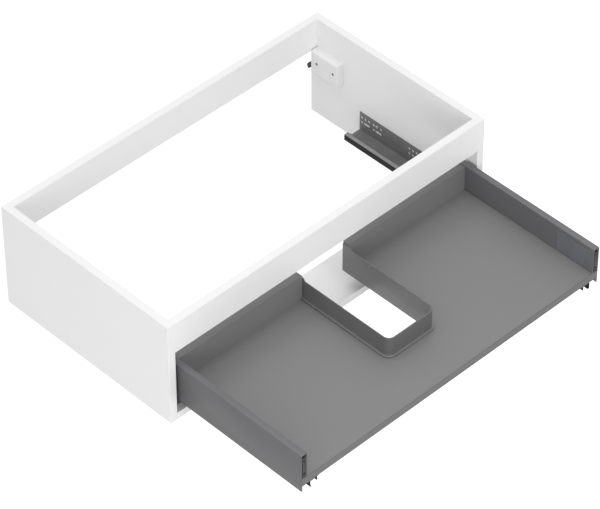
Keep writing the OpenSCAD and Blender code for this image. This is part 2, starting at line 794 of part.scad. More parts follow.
side_panel("left");  // left_side_panel
side_panel("right");  // right_side_panel
rear_rail();
front_rail();
front_bottom_board();
dowels();
hanger_casing("left");  // left_hanger_casing
hanger_casing("right");  // right_hanger_casing
hanger_backplate("left");  // left_hanger_backplate
hanger_backplate("right");  // right_hanger_backplate
hanger_screws();
lift_plate("left");  // left_lift_plate
lift_plate("right");  // right_lift_plate
hook("left");  // left_hook
hook("right");  // right_hook
adjuster("left", lift_screw_y);  // left_lift_screw
adjuster("right", lift_screw_y);  // right_lift_screw
adjuster("left", reach_screw_y);  // left_reach_screw
adjuster("right", reach_screw_y);  // right_reach_screw
cabinet_rail("left");  // left_cabinet_rail
cabinet_rail("right");  // right_cabinet_rail
cabinet_rail_screws();
lower_carrier("left");  // left_lower_carrier
lower_carrier("right");  // right_lower_carrier
lower_rollers("left");  // left_lower_rollers
lower_rollers("right");  // right_lower_rollers
middle_rail("left");  // left_middle_rail
middle_rail("right");  // right_middle_rail
upper_carrier("left");  // left_upper_carrier
upper_carrier("right");  // right_upper_carrier
upper_rollers("left");  // left_upper_rollers
upper_rollers("right");  // right_upper_rollers
drawer_rail("left");  // left_drawer_rail
drawer_rail("right");  // right_drawer_rail
drawer_floor();
back_panel("left");  // left_back_panel
back_panel("right");  // right_back_panel
outer_skin("left");  // left_outer_skin
outer_skin("right");  // right_outer_skin
inner_skin("left");  // left_inner_skin
inner_skin("right");  // right_inner_skin
floor_ledge("left");  // left_floor_ledge
floor_ledge("right");  // right_floor_ledge
front_bracket("left");  // left_front_bracket
front_bracket("right");  // right_front_bracket
adjusting_cam("left");  // left_adjusting_cam
adjusting_cam("right");  // right_adjusting_cam
cover_cap("left");  // left_cover_cap
cover_cap("right");  // right_cover_cap
rear_bracket("left");  // left_rear_bracket
rear_bracket("right");  // right_rear_bracket
drawer_screws();
cutout_surround();
clip_body("left");  // left_clip_body
clip_body("right");  // right_clip_body
clip_lever("left");  // left_clip_lever
clip_lever("right");  // right_clip_lever
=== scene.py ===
import json
from math import cos, radians, sin, tan

import bmesh
import bpy
from mathutils import Matrix, Vector


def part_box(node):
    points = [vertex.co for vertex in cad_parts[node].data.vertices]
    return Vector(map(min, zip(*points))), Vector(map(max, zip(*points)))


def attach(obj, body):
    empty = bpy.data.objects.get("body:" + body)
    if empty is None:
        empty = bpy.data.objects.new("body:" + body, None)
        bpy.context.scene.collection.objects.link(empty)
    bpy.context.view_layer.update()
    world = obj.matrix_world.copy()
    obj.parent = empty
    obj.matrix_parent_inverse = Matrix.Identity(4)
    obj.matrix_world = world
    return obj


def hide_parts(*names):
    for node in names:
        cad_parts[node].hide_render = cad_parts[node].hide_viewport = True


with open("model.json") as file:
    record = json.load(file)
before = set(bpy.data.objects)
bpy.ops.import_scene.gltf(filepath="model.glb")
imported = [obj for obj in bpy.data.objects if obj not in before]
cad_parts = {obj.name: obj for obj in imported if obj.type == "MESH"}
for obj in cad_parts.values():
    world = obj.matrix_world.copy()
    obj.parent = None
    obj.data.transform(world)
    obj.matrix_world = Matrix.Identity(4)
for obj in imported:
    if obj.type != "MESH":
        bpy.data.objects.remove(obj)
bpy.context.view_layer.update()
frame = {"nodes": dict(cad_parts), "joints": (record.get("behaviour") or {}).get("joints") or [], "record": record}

# ----- Carcass boards -----
# White laminated chipboard, 16 mm thick, sawn to size. Every edge that shows is closed with
# 1 mm edge band, glued on and trimmed to a small radius. Dowels and glue hold the corners.

BAND = 0.001
BAND_RADIUS = 0.0004
SAWN_EDGE = 0.00012
# Points nearer than this are one point, and an edge shorter than this is no edge.
SAME_PLACE, NO_LENGTH = 1e-6, 1e-5
# Two faces turned less than FLAT are one flat face, less than ROUND one round face, and more
# than SHARP they meet in an edge.
FLAT, ROUND, SHARP = radians(1), radians(35), radians(40)

record = frame["record"]
body_of = {n: body for body, names in record["behaviour"]["bodies"].items() for n in names}


class Wire:
    """One output of a shader node. Sums and products of wires add Math nodes."""

    def __init__(self, finish, socket):
        self.finish, self.socket = finish, socket

    def math(self, operation, first, second):
        return self.finish.node("ShaderNodeMath", {"operation": operation}, {0: first, 1: second})

    def __add__(self, other):
        return self.math("ADD", self, other)

    def __rsub__(self, other):
        return self.math("SUBTRACT", other, self)

    def __mul__(self, other):
        return self.math("MULTIPLY", self, other)

    __radd__ = __add__
    __rmul__ = __mul__


class Finish:
    """A material's or world's node tree, and the one method that adds a node to it."""

    def __init__(self, name, owners=bpy.data.materials):
        self.material = owners.new(name)
        self.material.use_nodes = True
        self.tree = self.material.node_tree
        self.tree.nodes.clear()
        self.place = self.node("ShaderNodeTexCoord", output="Object")

    def node(self, kind, settings=None, inputs=None, output=0):
        made = self.tree.nodes.new(kind)
        for key, value in (settings or {}).items():
            if key == "stops":
                for stop, (where, shade) in zip(made.color_ramp.elements, value):
                    stop.position, stop.color = where, (shade, shade, shade, 1)
            else:
                setattr(made, key, value)
        for key, value in (inputs or {}).items():
            if isinstance(value, Wire):
                self.tree.links.new(value.socket, made.inputs[key])
            else:
                made.inputs[key].default_value = value
        return Wire(self, made.outputs[output]) if made.outputs else None

    def stretched(self, x, y, z):
        return self.node("ShaderNodeVectorMath", {"operation": "MULTIPLY"},
                         {0: self.place, 1: (x, y, z)})

    def noise(self, scale, detail=3.0, place=None):
        return self.node("ShaderNodeTexNoise", {},
                         {"Vector": place or self.place, "Scale": scale, "Detail": detail})

    def ramp(self, value, low, high):
        return self.node("ShaderNodeValToRGB", {"stops": ((low, 0.0), (high, 1.0))}, {0: value})

    def blend(self, mask, first, second):
        return self.node("ShaderNodeMix", {"data_type": "RGBA"},
                         {0: mask, 6: colour(first), 7: colour(second)}, 2)

    def eased(self):
        return self.node("ShaderNodeAttribute", {"attribute_name": "eased"}, output="Fac")

    def close(self, base, roughness, height, depth, **constants):
        bump = self.node("ShaderNodeBump", {},
                         {"Height": height, "Strength": 1.0, "Distance": depth})
        surface = self.node("ShaderNodeBsdfPrincipled", {},
                            {"Base Color": base, "Roughness": roughness, "Normal": bump,
                             **constants})
        self.node("ShaderNodeOutputMaterial", {}, {0: surface})
        return self.material


def colour(value):
    return value if isinstance(value, Wire) else (*value, 1)


def shade(tone, tint=(1, 1, 1)):
    """A linear colour from a 0 to 1 display tone."""
    linear = ((tone + 0.055) / 1.055) ** 2.4
    return tuple(linear * part for part in tint)


def laminate(name, tone, tint=(1, 1, 1), grain=1.0):
    """Melamine laminate: even colour, fine pearl grain, edges rubbed a little lighter."""
    finish = Finish(name)
    cloud = finish.noise(scale=9.0, detail=4.0)
    pearl = finish.noise(scale=1400.0, detail=2.0)
    drift = 0.006 * grain
    face = finish.blend(cloud, shade(tone - drift, tint), shade(tone + drift, tint))
    fleck = finish.ramp(pearl, 0.42, 0.70)
    face = finish.blend(fleck * (0.25 * grain), face, shade(min(tone + 0.05, 1.0), tint))
    rubbed = finish.eased() * finish.ramp(finish.noise(scale=60.0), 0.35, 0.75) * 0.35
    face = finish.blend(rubbed, face, shade(min(tone + 0.06, 0.97), tint))
    roughness = 0.44 + 0.10 * finish.noise(scale=30.0) + 0.04 * pearl
    height = finish.noise(scale=700.0, detail=2.0) + 0.5 * pearl
    return finish.close(face, roughness, height, 0.00002 * grain)


WHITE = laminate("white_laminate", 0.93, grain=0.6)
WHITE_BAND = laminate("white_edge_band", 0.935, grain=0.3)


def solid_of(node, cuts=()):
    """The node's solid with its triangles merged into flat and round faces.

    Each cut, an axis and a place on it, keeps its line across the faces. That stops an edge
    from running from a hole to a corner, where rounding would warp the face.
    """
    shape = bmesh.new()
    shape.from_mesh(frame["nodes"][node].data)
    bmesh.ops.remove_doubles(shape, verts=shape.verts, dist=SAME_PLACE)
    for axis, place in cuts:
        across = Vector([float(i == axis) for i in range(3)])
        whole = shape.verts[:] + shape.edges[:] + shape.faces[:]
        line = bmesh.ops.bisect_plane(shape, geom=whole, plane_co=across * place,
                                      plane_no=across, dist=SAME_PLACE)["geom_cut"]
        for edge in line:
            if isinstance(edge, bmesh.types.BMEdge):
                edge.seam = True
    bmesh.ops.dissolve_limit(shape, angle_limit=FLAT / 2, verts=shape.verts,
                             edges=shape.edges, delimit={"SEAM"})
    for face in shape.faces:
        face.smooth = False
    return shape


def turn_of(edge):
    return edge.calc_face_angle(0.0) if len(edge.link_faces) == 2 else 0.0


def round_over(shape, edges, radius, steps):
    """Rounds edges to a radius and marks the new faces as eased."""
    eased = shape.faces.layers.float.get("eased") or shape.faces.layers.float.new("eased")
    made = bmesh.ops.bevel(shape, geom=edges, offset=radius, offset_type="OFFSET",
                           segments=steps, profile=0.5, affect="EDGES", clamp_overlap=True,
                           material=-1)
    for face in made["faces"]:
        face.smooth = True
        face[eased] = 1.0


def unmark(shape):
    """Takes the mark of an eased edge off what is a bend or a wide round."""
    eased = shape.faces.layers.float.get("eased")
    for face in shape.faces if eased else ():
        face[eased] = 0.0


def ease(shape, radius, steps=2):
    """Rounds every sharp outer edge a little and smooths what is already round.

    An edge of no length would hold the rounding back everywhere, so those go first.
    """
    bmesh.ops.dissolve_degenerate(shape, dist=NO_LENGTH, edges=shape.edges)
    for edge in shape.edges:
        if FLAT < turn_of(edge) < ROUND:
            for face in edge.link_faces:
                face.smooth = True
    sharp = [e for e in shape.edges if e.is_convex and turn_of(e) > SHARP]
    round_over(shape, sharp, radius, steps)


def put(name, shape, material, body, replaces=()):
    """Makes a shape a piece of the unit."""
    bmesh.ops.dissolve_degenerate(shape, dist=SAME_PLACE, edges=shape.edges)
    mesh = bpy.data.meshes.new(name)
    shape.to_mesh(mesh)
    shape.free()
    mesh.materials.append(material)
    made = bpy.data.objects.new(name, mesh)
    bpy.context.scene.collection.objects.link(made)
    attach(made, body)
    if replaces:
        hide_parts(*replaces)
    return made


def put_node(node, shape, material):
    return put(node + "_fine", shape, material, body_of[node], (node,))


def block(low, high, radius, steps=2):
    """A block between two corners with its edges rounded."""
    shape = bmesh.new()
    bmesh.ops.create_cube(shape, size=1.0)
    size = [b - a for a, b in zip(low, high)]
    bmesh.ops.scale(shape, vec=size, verts=shape.verts)
    bmesh.ops.translate(shape, vec=[(a + b) / 2 for a, b in zip(low, high)], verts=shape.verts)
    round_over(shape, shape.edges[:], radius, steps)
    return shape


def banded_board(node, bands, material, band_material):
    """A board drawn back by the band on each banded edge, with the bands as own strips."""
    low, high = (list(corner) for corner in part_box(node))
    shape = solid_of(node)
    for count, (axis, end) in enumerate(bands):
        limit = high if end > 0 else low
        edge = limit[axis]
        limit[axis] = edge - end * BAND
        for vert in shape.verts:
            if abs(vert.co[axis] - edge) < SAME_PLACE:
                vert.co[axis] = limit[axis]
        strip_low, strip_high = list(low), list(high)
        strip_low[axis], strip_high[axis] = sorted((edge, limit[axis]))
        strip = block(strip_low, strip_high, BAND_RADIUS)
        put(f"{node}_band_{count}", strip, band_material, body_of[node])
    ease(shape, SAWN_EDGE, 1)
    put_node(node, shape, material)


for node in ("left_side_panel", "right_side_panel"):
    banded_board(node, ((1, -1), (2, 1), (2, -1), (1, 1)), WHITE, WHITE_BAND)
for node in ("rear_rail", "front_rail"):
    banded_board(node, ((2, 1), (2, -1)), WHITE, WHITE_BAND)
banded_board("front_bottom_board", ((1, -1), (1, 1)), WHITE, WHITE_BAND)

# ----- Dowels -----
# Beech dowels, 8 mm thick, with chamfered ends. They are glued in blind holes and are out of
# sight in the joints of the boards.

DOWEL_CHAMFER = 0.0008


def beech(name):
    finish = Finish(name)
    fibre = finish.noise(scale=240.0, detail=5.0, place=finish.stretched(0.12, 1.0, 1.0))
    streak = finish.noise(scale=900.0, detail=2.0, place=finish.stretched(0.2, 1.0, 1.0))
    fleck = finish.ramp(streak, 0.62, 0.72)
    wood = finish.blend(fibre, (0.50, 0.33, 0.17), (0.66, 0.47, 0.28))
    wood = finish.blend(fleck * 0.5, wood, (0.36, 0.21, 0.10))
    return finish.close(wood, 0.62 + 0.15 * fibre, fibre, 0.0001)


dowels = solid_of("dowels")
ease(dowels, DOWEL_CHAMFER)
put_node("dowels", dowels, beech("beech_wood"))

# ----- Cabinet hangers -----
# A white moulded casing over a zinc-plated steel backplate, which two screws fix to the side
# panel. A blackened hook reaches out to the wall, and two screws behind the casing's holes
# raise it and draw it in.

SIDES = ("left", "right")
DEBURRED, LIFT_PLATE_EDGE, CASING_EDGE, FORGED_EDGE = 0.0002, 0.0003, 0.0007, 0.0006
# The casing's two holes lie within this of its edges, and a ledge's painted highlight is this thick.
CASING_HOLE_SPAN, LEDGE_REACH = 0.008, 0.0003


def moulded(name, tone, tint=(1, 1, 1), gloss=0.45, rub_and_rim_highlight=0.07, painted_light_ledge_z=None):
    """Moulded plastic: spark-eroded grain, a slight mottle and edges rubbed paler, where a large lift is also a
    painted rim highlight.

    A ledge at the given height is painted paler, a painted highlight for the light its top face catches.
    """
    finish = Finish(name)
    grains = finish.noise(scale=1900.0, detail=3.0)
    mottle = finish.noise(scale=45.0, detail=3.0)
    face = finish.blend(mottle, shade(tone - 0.012, tint), shade(tone + 0.012, tint))
    rubbed = finish.eased() * finish.ramp(finish.noise(scale=130.0), 0.30, 0.70) * 0.5
    # Paler eased edges: wear, and with the lining's large lift also a painted highlight along its rim.
    face = finish.blend(rubbed, face, shade(min(tone + rub_and_rim_highlight, 0.97), tint))
    # Painted highlight: the foot's top face is painted paler for the light it catches.
    if painted_light_ledge_z is not None:
        height = finish.node("ShaderNodeSeparateXYZ", {}, {0: finish.place}, "Z")
        ledge = finish.node("ShaderNodeMath", {"operation": "COMPARE"},
                            {0: height, 1: painted_light_ledge_z, 2: LEDGE_REACH})
        face = finish.blend(ledge * (0.7 + 0.3 * mottle), face, shade(tone + 0.10, tint))
    roughness = gloss + 0.08 * grains + 0.06 * mottle
    return finish.close(face, roughness, grains + 0.3 * mottle, 0.00003)


def zinc_plate(name, tone=0.70, tint=(1.0, 1.0, 0.99)):
    """Zinc-plated steel: bright, faintly spangled, with drawn lines and dull spots."""
    finish = Finish(name)
    spangle = finish.node("ShaderNodeTexVoronoi", {}, {"Vector": finish.place, "Scale": 420.0}, 1)
    spangle = finish.node("ShaderNodeRGBToBW", {}, {0: spangle})
    drawn = finish.noise(scale=500.0, detail=2.0, place=finish.stretched(1.0, 0.06, 1.0))
    dull = finish.ramp(finish.noise(scale=80.0, detail=4.0), 0.45, 0.75)
    face = finish.blend(spangle, shade(tone - 0.04, tint), shade(tone + 0.04, tint))
    face = finish.blend(dull * 0.3, face, shade(tone - 0.10, tint))
    roughness = 0.30 + 0.12 * drawn + 0.12 * dull
    return finish.close(face, roughness, drawn, 0.00001, Metallic=0.9)


def blackened(name):
    finish = Finish(name)
    scale = finish.noise(scale=300.0, detail=4.0)
    worn = finish.eased() * finish.ramp(finish.noise(scale=160.0), 0.40, 0.65) * 0.5
    face = finish.blend(scale, shade(0.12), shade(0.19))
    face = finish.blend(worn, face, shade(0.42))
    return finish.close(face, 0.38 + 0.2 * scale, scale, 0.00003,
                        **{"Specular IOR Level": 0.3})


CASING = moulded("casing_plastic", 0.90, gloss=0.42)
ZINC = zinc_plate("zinc_plated_steel")
BLACK = blackened("blackened_steel")


def refined(node, radius, material, steps=2, cuts=()):
    """The node's own solid with its edges eased."""
    shape = solid_of(node, cuts)
    ease(shape, radius, steps)
    return put_node(node, shape, material)


for side in SIDES:
    low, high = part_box(f"{side}_hanger_casing")
    round_the_holes = ((2, low.z + CASING_HOLE_SPAN), (2, high.z - CASING_HOLE_SPAN),
                       (1, low.y + CASING_HOLE_SPAN), (1, high.y - CASING_HOLE_SPAN))
    refined(f"{side}_hanger_casing", CASING_EDGE, CASING, 3, round_the_holes)
    refined(f"{side}_hanger_backplate", DEBURRED, ZINC)
    refined(f"{side}_lift_plate", LIFT_PLATE_EDGE, ZINC)
    refined(f"{side}_hook", FORGED_EDGE, BLACK, 3)
    refined(f"{side}_lift_screw", DEBURRED, BLACK)
    refined(f"{side}_reach_screw", DEBURRED, BLACK)

# ----- Screws -----
# Zinc-plated pan-head screws with a cross recess: in the hanger backplates, in the cabinet
# rails and up into the drawer's floor board and back panels.

# Shares of the head's radius, of the head's height and of the shank's radius.
CROSS_SPAN, CROSS_HOLLOW, FLAT_TOP, CROSS_RIM = 0.3224, 0.29, 0.33, 0.04
DOME, CROSS_DIP, CROSS_DEPTH = 0.55, 0.10, 0.55
PITCH, ROOT, POINT = 0.9, 0.80, 0.7
# The bottom of the recess is this share of its mouth.
CROSS_TAPER = 0.8
DOME_TURNS = (0.0, 0.35, 0.70, 1.05)
TURNED_STEPS = 24


def screw_heads(node, shank_r, head_t):
    """Adds to each screw a domed head with a cross recess, and a pointed, ridged shank."""
    shape = solid_of(node)
    sorted_out, screws = set(), []
    for first in shape.verts:
        if first in sorted_out:
            continue
        group, front = set(), [first]
        while front:
            vert = front.pop()
            if vert in group:
                continue
            group.add(vert)
            front.extend(edge.other_vert(vert) for edge in vert.link_edges)
        sorted_out |= group
        screws.append(group)
    made = bmesh.new()
    for group in screws:
        low = Vector([min(v.co[i] for v in group) for i in range(3)])
        high = Vector([max(v.co[i] for v in group) for i in range(3)])
        size, middle = high - low, (low + high) / 2
        axis = max(range(3), key=lambda i: size[i])
        head_r = min(size) / 2
        along = Vector([float(i == axis) for i in range(3)])
        widest = max(((v.co - middle).cross(along).length, -v.co[axis]) for v in group)
        head_low = -widest[1] < middle[axis]
        out = -along if head_low else along
        tip = high[axis] if head_low else low[axis]
        top = low[axis] if head_low else high[axis]
        length = abs(tip - top)
        turn = Vector((0, 0, 1)).rotation_difference(out).to_matrix().to_4x4()
        place = Matrix.Translation([top if i == axis else middle[i] for i in range(3)]) @ turn
        made_screw(made, place, head_r, head_t, shank_r, length)
    shape.free()
    return made


def made_screw(made, place, head_r, head_t, shank_r, length):
    """One screw along -Z from its head's top, turned as a profile and cut with a cross."""
    dome = [(head_r * cos(turn), head_t * DOME * (sin(turn) - 1)) for turn in DOME_TURNS]
    pitch, ridges = shank_r * PITCH, []
    start = -head_t - pitch
    while start > -length + 2.2 * pitch:
        ridges += [(shank_r * ROOT, start), (shank_r, start - pitch * 0.35),
                   (shank_r * ROOT, start - pitch * 0.7)]
        start -= pitch
    outline = [(head_r * FLAT_TOP, 0.0), *reversed(dome), (head_r, -head_t),
               (shank_r, -head_t), *ridges, (shank_r * POINT, -length + pitch), (0.0, -length)]
    lathe = bmesh.new()
    verts = [lathe.verts.new((r, 0, z)) for r, z in outline]
    edges = [lathe.edges.new(pair) for pair in zip(verts, verts[1:])]
    bmesh.ops.spin(lathe, geom=verts + edges, cent=(0, 0, 0), axis=(0, 0, 1), dvec=(0, 0, 0),
                   angle=radians(360), steps=TURNED_STEPS, use_merge=True,
                   use_duplicate=False)
    bmesh.ops.remove_doubles(lathe, verts=lathe.verts, dist=SAME_PLACE)
    rim = [e for e in lathe.edges if e.is_boundary]
    cap = bmesh.ops.edgeloop_fill(lathe, edges=rim)["faces"]
    bmesh.ops.inset_region(lathe, faces=cap, thickness=head_r * CROSS_RIM, depth=0.0)
    bmesh.ops.recalc_face_normals(lathe, faces=lathe.faces)
    for face in lathe.faces:
        face.smooth = face not in cap
    bmesh.ops.translate(lathe, verts=cap[0].verts, vec=(0, 0, -head_t * CROSS_DIP))
    star(lathe, cap[0], CROSS_SPAN * head_r, CROSS_HOLLOW * head_r, head_t * CROSS_DEPTH)
    bmesh.ops.dissolve_degenerate(lathe, dist=SAME_PLACE, edges=lathe.edges)
    bmesh.ops.transform(lathe, matrix=place, verts=lathe.verts)
    copy = bpy.data.meshes.new("screw")
    lathe.to_mesh(copy)
    lathe.free()
    made.from_mesh(copy)
    bpy.data.meshes.remove(copy)


def star(lathe, face, span, hollow, depth):
    """Sinks a cross recess into a round face, whose corners between the arms are drawn in."""
    bmesh.ops.inset_region(lathe, faces=[face], thickness=span * 0.25, depth=0.0)
    ring = sorted(face.verts, key=lambda v: v.co.xy.angle_signed(Vector((1, 0))))
    for count, vert in enumerate(ring):
        reach = span if count % 6 in (0, 1, 5) else hollow
        vert.co.xy = vert.co.xy.normalized() * reach
    floor = bmesh.ops.extrude_discrete_faces(lathe, faces=[face])["faces"]
    bmesh.ops.translate(lathe, verts=floor[0].verts, vec=(0, 0, -depth))
    bmesh.ops.scale(lathe, verts=floor[0].verts, vec=(CROSS_TAPER, CROSS_TAPER, 1.0))


for node, shank_r, head_t in (("hanger_screws", 0.0018, 0.0018),
                              ("cabinet_rail_screws", 0.0024, 0.0014),
                              ("drawer_screws", 0.0018, 0.0018)):
    put_node(node, screw_heads(node, shank_r, head_t), ZINC)

# ----- Runners -----
# Cabinet rail, middle rail and drawer rail, roll-formed from dark coated steel, with black
# cages between them that hold pale plastic rollers. The rollers burnish the tracks.

RAIL_SHEET = 0.0012
CABINET_BEND, MIDDLE_BEND, DRAWER_BEND = 0.0010, 0.0006, 0.0008
# The raised track lies this far above the underside of the lower carrier.
TRACK_RISE = 0.0057
# How near a level a mark of wear reaches, and how near a side the painted dark reflection reaches.
TRACK_REACH, EDGE_REACH = 0.0004, 0.0004
# The rows of holes end this far from the cabinet rail's bottom, top, rear and front.
HOLES_OVER, HOLES_UNDER, HOLES_IN_FRONT, HOLES_BEHIND = 0.010, 0.004, 0.004, 0.002


def rail_coat(name, tone, track_z, painted_reflection_x=0.0):
    """Coated steel with fine drawn lines, rubbed bright where the rollers run.

    Within a given distance of the middle plane, on the outside of the raised edge, it is painted black as a
    painted dark reflection.
    """
    finish = Finish(name)
    side = finish.node("ShaderNodeSeparateXYZ", {}, {0: finish.place}, "X")
    height = finish.node("ShaderNodeSeparateXYZ", {}, {0: finish.place}, "Z")
    drawn = finish.noise(scale=900.0, detail=3.0, place=finish.stretched(1.0, 0.02, 1.0))
    blotch = finish.noise(scale=35.0, detail=3.0)
    face = finish.blend(blotch, shade(tone - 0.03), shade(tone + 0.03))
    track = finish.node("ShaderNodeMath", {"operation": "COMPARE"},
                        {0: height, 1: track_z, 2: TRACK_REACH})
    face = finish.blend(track * (0.20 + 0.25 * drawn), face, shade(0.72))
    rubbed = finish.eased() * finish.ramp(finish.noise(scale=120.0), 0.35, 0.65) * 0.45
    face = finish.blend(rubbed, face, shade(tone * 1.4))
    # Painted dark reflection: the outside face of the raised edge is painted black.
    outside = side.math("LESS_THAN", side.math("ABSOLUTE", side, 0.0), painted_reflection_x)
    face = finish.blend(outside, face, shade(0.08))
    roughness = 0.40 + 0.14 * blotch + 0.08 * drawn
    return finish.close(face, roughness, drawn, 0.00001, **{"Specular IOR Level": 0.15})


# A bend turns the sheet at least this much and runs along the rail or wall.
LEAST_BEND, ALONG, BEND_STEPS = radians(30), 0.99, 4


def folded(node, thickness, bend, radius, material, cuts=()):
    """A folded sheet: its long bends get a bend radius, its other edges are eased."""
    shape = solid_of(node, cuts)
    runs = [e for e in shape.edges if turn_of(e) > LEAST_BEND
            and abs((e.verts[0].co - e.verts[1].co).normalized().y) > ALONG]
    middles = {e: (e.verts[0].co + e.verts[1].co) / 2 for e in runs}
    inner = [e for e in runs if not e.is_convex]
    bends = {e: bend for e in inner}
    reach = thickness * 1.6
    for edge in runs:
        near = [e for e in inner if (middles[edge] - middles[e]).xz.length < reach]
        if edge.is_convex and near:
            bends[edge] = bend + thickness
    sizes = {e: round(r * tan(turn_of(e) / 2), 6) for e, r in bends.items()}
    for size in sorted(set(sizes.values()), reverse=True):
        round_over(shape, [e for e in sizes if e.is_valid and sizes[e] == size], size, BEND_STEPS)
    unmark(shape)
    ease(shape, radius, 1)
    return put_node(node, shape, material)


for side in SIDES:
    cabinet_rail, middle_rail = f"{side}_cabinet_rail", f"{side}_middle_rail"
    low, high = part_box(cabinet_rail)
    round_the_holes = ((2, low.z + HOLES_OVER), (2, high.z - HOLES_UNDER),
                       (1, low.y + HOLES_IN_FRONT), (1, high.y - HOLES_BEHIND))
    track_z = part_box(f"{side}_lower_carrier")[0].z + TRACK_RISE
    edge_x = min(abs(low.x), abs(high.x))
    # The cabinet rail's outside face gets the painted dark reflection.
    folded(cabinet_rail, RAIL_SHEET, CABINET_BEND, DEBURRED,
           rail_coat(f"{side}_cabinet_rail_coat", 0.47, track_z, edge_x + EDGE_REACH),
           round_the_holes)
    folded(middle_rail, RAIL_SHEET, MIDDLE_BEND, DEBURRED,
           rail_coat(f"{side}_middle_rail_coat", 0.44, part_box(middle_rail)[1].z))
    under_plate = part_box(f"{side}_drawer_rail")[1].z - RAIL_SHEET
    folded(f"{side}_drawer_rail", RAIL_SHEET, DRAWER_BEND, DEBURRED,
           rail_coat(f"{side}_drawer_rail_coat", 0.09, under_plate))

CAGE = moulded("carrier_plastic", 0.16, gloss=0.40)
ROLLER = moulded("roller_plastic", 0.84, (1.0, 0.99, 0.96), gloss=0.35)
ROLLER_EDGE = 0.0003
for side in SIDES:
    for level in ("lower", "upper"):
        refined(f"{side}_{level}_carrier", DEBURRED, CAGE)
        refined(f"{side}_{level}_rollers", ROLLER_EDGE, ROLLER)

# ----- Drawer floor and back panels -----
# Grey laminated chipboard, 16 mm thick. The floor board has a U-shaped cut-out from the rear
# for the drain trap, and one back panel stands on it on each side of the cut-out.

COOL = (1.0, 1.0, 1.005)
GREY = laminate("grey_laminate", 0.478, COOL)
GREY_BAND = laminate("grey_edge_band", 0.375, COOL, grain=0.6)
GREY_TOP = laminate("grey_top_band", 0.425, COOL, grain=0.6)

banded_board("drawer_floor", ((1, -1),), GREY, GREY_BAND)
for side in SIDES:
    banded_board(f"{side}_back_panel", ((2, 1),), GREY, GREY_TOP)

# ----- Drawer sides -----
# Hollow walls of 1 mm steel sheet in grey powder coat: an outer skin folded over the top, an
# inner skin with a foot on the floor board, and an angle under the board that joins them.


def powder_coat(name, tone, tint=(1, 1, 1), painted_sheen_z=1.0):
    """Powder coat: fine orange peel, tiny light and dark specks, satin.

    Above a given height it is painted paler, a painted sheen of the light the top face catches.
    """
    finish = Finish(name)
    peel = finish.noise(scale=520.0, detail=2.0)
    speck = finish.noise(scale=2600.0, detail=2.0)
    cloud = finish.noise(scale=12.0, detail=3.0)
    face = finish.blend(cloud, shade(tone - 0.008, tint), shade(tone + 0.008, tint))
    light, dark = finish.ramp(speck, 0.55, 0.75), finish.ramp(1.0 - speck, 0.58, 0.78)
    face = finish.blend(light * 0.4, face, shade(tone + 0.07, tint))
    face = finish.blend(dark * 0.4, face, shade(tone - 0.06, tint))
    rubbed = finish.eased() * finish.ramp(finish.noise(scale=70.0), 0.40, 0.75) * 0.4
    face = finish.blend(rubbed, face, shade(tone + 0.10, tint))
    # Painted sheen: the top face is painted paler for the light it catches from above.
    height = finish.node("ShaderNodeSeparateXYZ", {}, {0: finish.place}, "Z")
    painted_sheen = height.math("GREATER_THAN", height, painted_sheen_z)
    face = finish.blend(painted_sheen * (0.5 + 0.5 * cloud), face, shade(tone + 0.05, tint))
    roughness = 0.34 + 0.06 * peel + 0.06 * cloud
    return finish.close(face, roughness, peel, 0.00003, **{"Specular IOR Level": 0.1})


SKIN_SHEET, SKIN_BEND = 0.001, 0.0006
# The wall's top, within this of its top, is painted paler as a painted sheen.
TOP_SHEEN_DEPTH = 0.0004
WINDOW_GAP = 0.0002

wall_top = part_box("left_outer_skin")[1].z
# The wall's top face gets a painted sheen.
SKIN = powder_coat("grey_powder_coat", 0.41, (1.0, 1.0, 1.035), wall_top - TOP_SHEEN_DEPTH)
for side in SIDES:
    folded(f"{side}_outer_skin", SKIN_SHEET, SKIN_BEND, DEBURRED, SKIN)
    low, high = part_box(f"{side}_cover_cap")
    window = ((1, low.y - WINDOW_GAP), (1, high.y + WINDOW_GAP),
              (2, low.z - WINDOW_GAP), (2, high.z + WINDOW_GAP))
    folded(f"{side}_inner_skin", SKIN_SHEET, SKIN_BEND, DEBURRED, SKIN, window)
    folded(f"{side}_floor_ledge", SKIN_SHEET, SKIN_BEND, DEBURRED, SKIN)
    refined(f"{side}_rear_bracket", DEBURRED, SKIN)

# ----- Front brackets and cover caps -----
# A grey die-cast bracket stands in each hollow wall and takes the front panel's screws, with
# a slotted cam to adjust the panel. A plain dark cap in the inner skin covers the cam.

BRACKET_ROUND, BRACKET_EDGE, CAP_EDGE = 0.0018, 0.0003, 0.0004
# Only the bracket's own corners are longer than this, not the edges of its holes.
LONG_EDGE = 0.03

BRACKET = powder_coat("bracket_coat", 0.27)
CAP = moulded("cap_plastic", 0.42, (0.95, 1.0, 1.08), gloss=0.38)
for side in SIDES:
    bracket = solid_of(f"{side}_front_bracket")
    corners = [e for e in bracket.edges
               if abs((e.verts[0].co - e.verts[1].co).z) > LONG_EDGE]
    round_over(bracket, corners, BRACKET_ROUND, 4)
    unmark(bracket)
    ease(bracket, BRACKET_EDGE)
    put_node(f"{side}_front_bracket", bracket, BRACKET)
    refined(f"{side}_adjusting_cam", DEBURRED, ZINC)
    refined(f"{side}_cover_cap", CAP_EDGE, CAP, 3)

# ----- Lining of the cut-out -----
# One grey plastic moulding bent round the cut-out, 2 mm thick, with a small foot on the
# floor board. Its top rises in a slope beside the back panels, to just under their tops.

FOOT_RISE = 0.0041
RIM_EDGE = 0.0008

# The foot's top face, at this height, gets a painted highlight.
foot_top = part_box("drawer_floor")[1].z + FOOT_RISE
# The lining's large edge lift paints a highlight along its rim.
LINING = moulded("lining_plastic", 0.385, (1.0, 1.0, 1.01), gloss=0.26, rub_and_rim_highlight=0.16,
                 painted_light_ledge_z=foot_top)
refined("cutout_surround", RIM_EDGE, LINING, 3)

